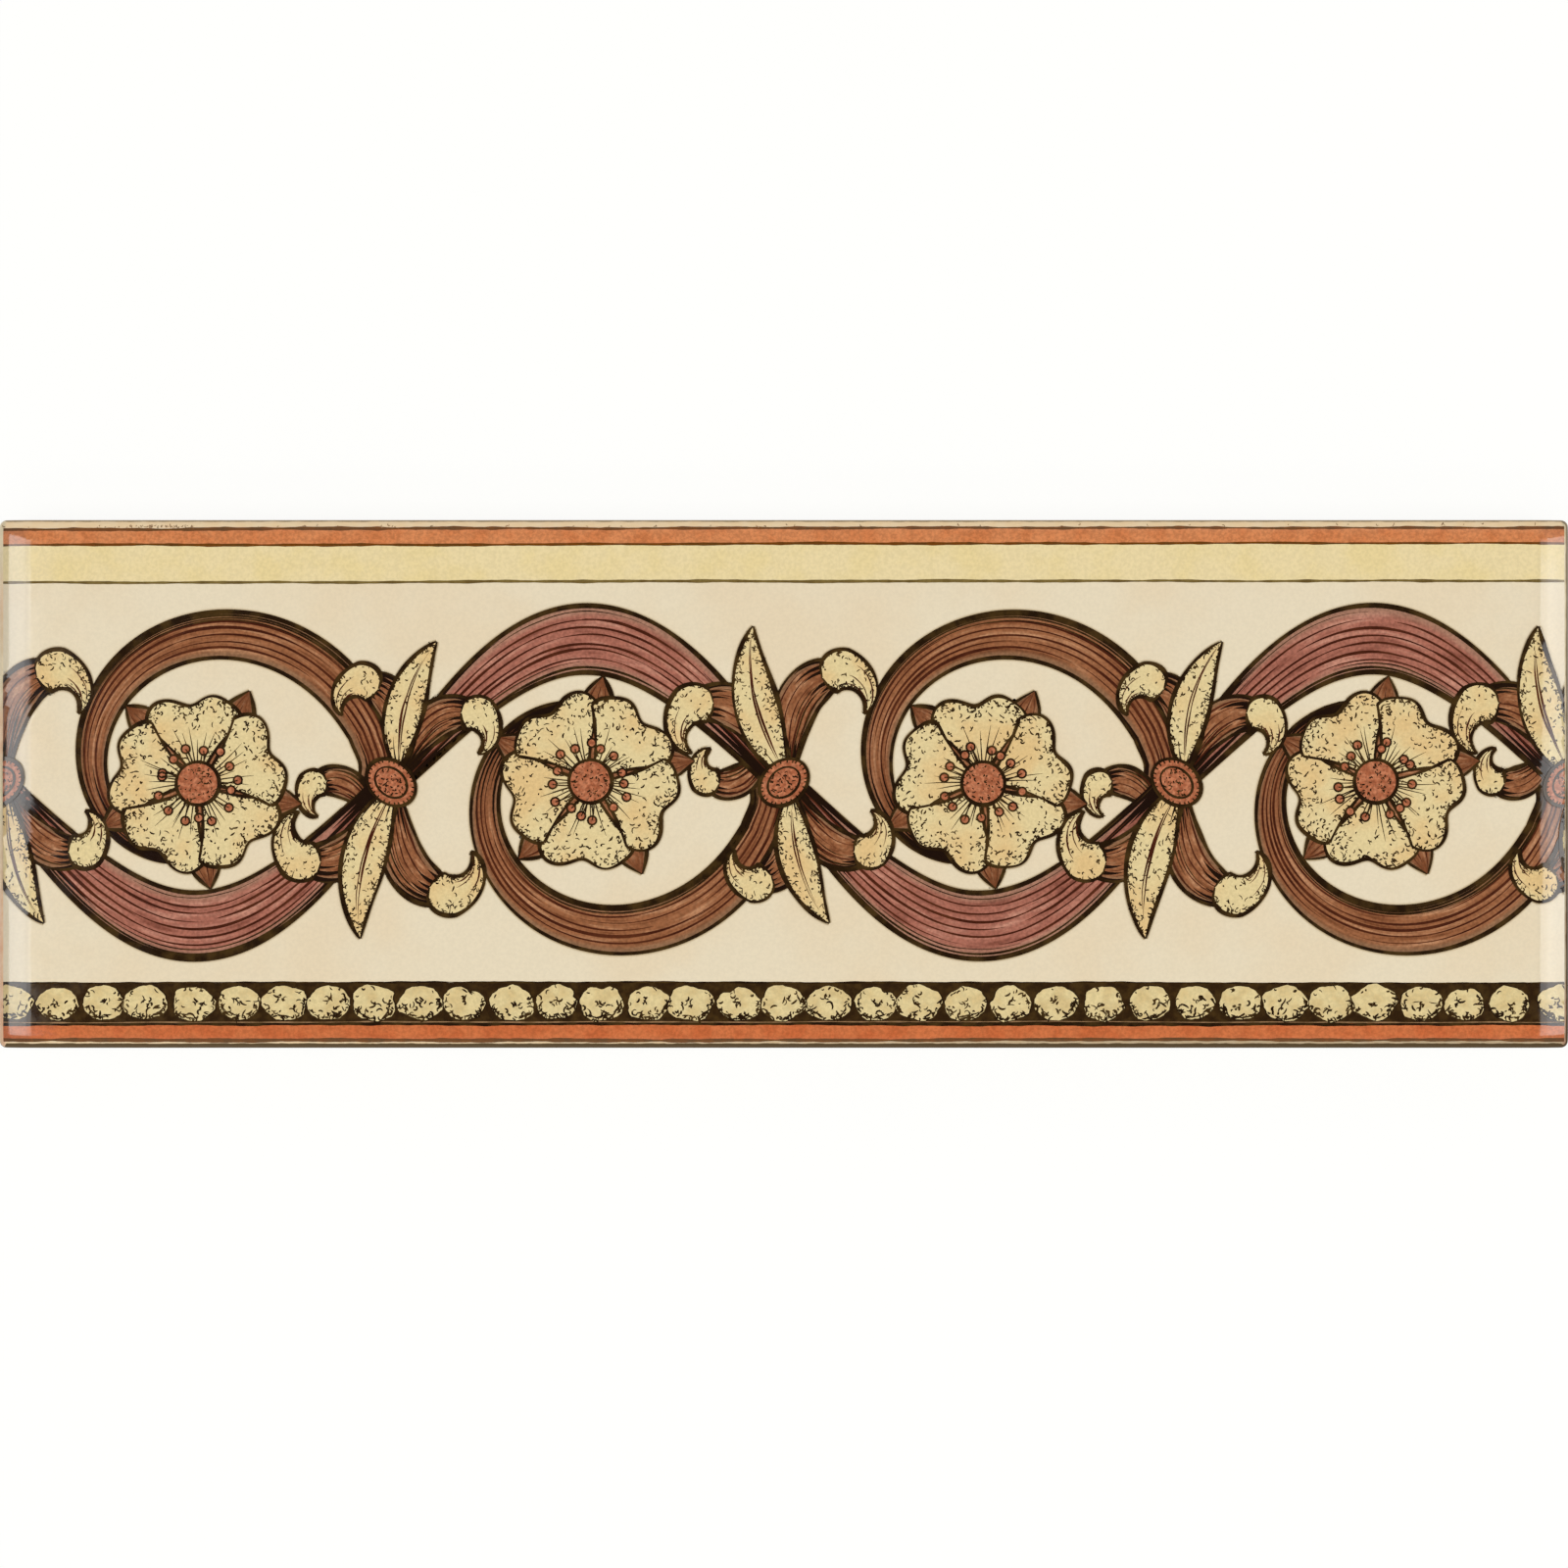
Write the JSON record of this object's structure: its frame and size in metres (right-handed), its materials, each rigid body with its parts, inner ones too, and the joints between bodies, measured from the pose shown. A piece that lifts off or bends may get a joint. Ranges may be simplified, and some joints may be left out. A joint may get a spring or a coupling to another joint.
{
  "type": "border tile",
  "caption": "Long narrow glazed ceramic wall tile with a cushioned face, a printed scrolling frieze between coloured bands, and a pocketed back for adhesive.",
  "frame": {"origin": "middle of the tile's back, where it lies on the floor", "axes": "+X along the border, +Y towards the top edge of its pattern, +Z out of the glazed face"},
  "size_m": [0.152, 0.051, 0.007],
  "materials": {
    "glazed_tile": "gloss glaze over a printed face, bare biscuit back"
  },
  "bodies": {
    "root": {"border_tile": "glazed_tile"}
  },
  "joints": []
}
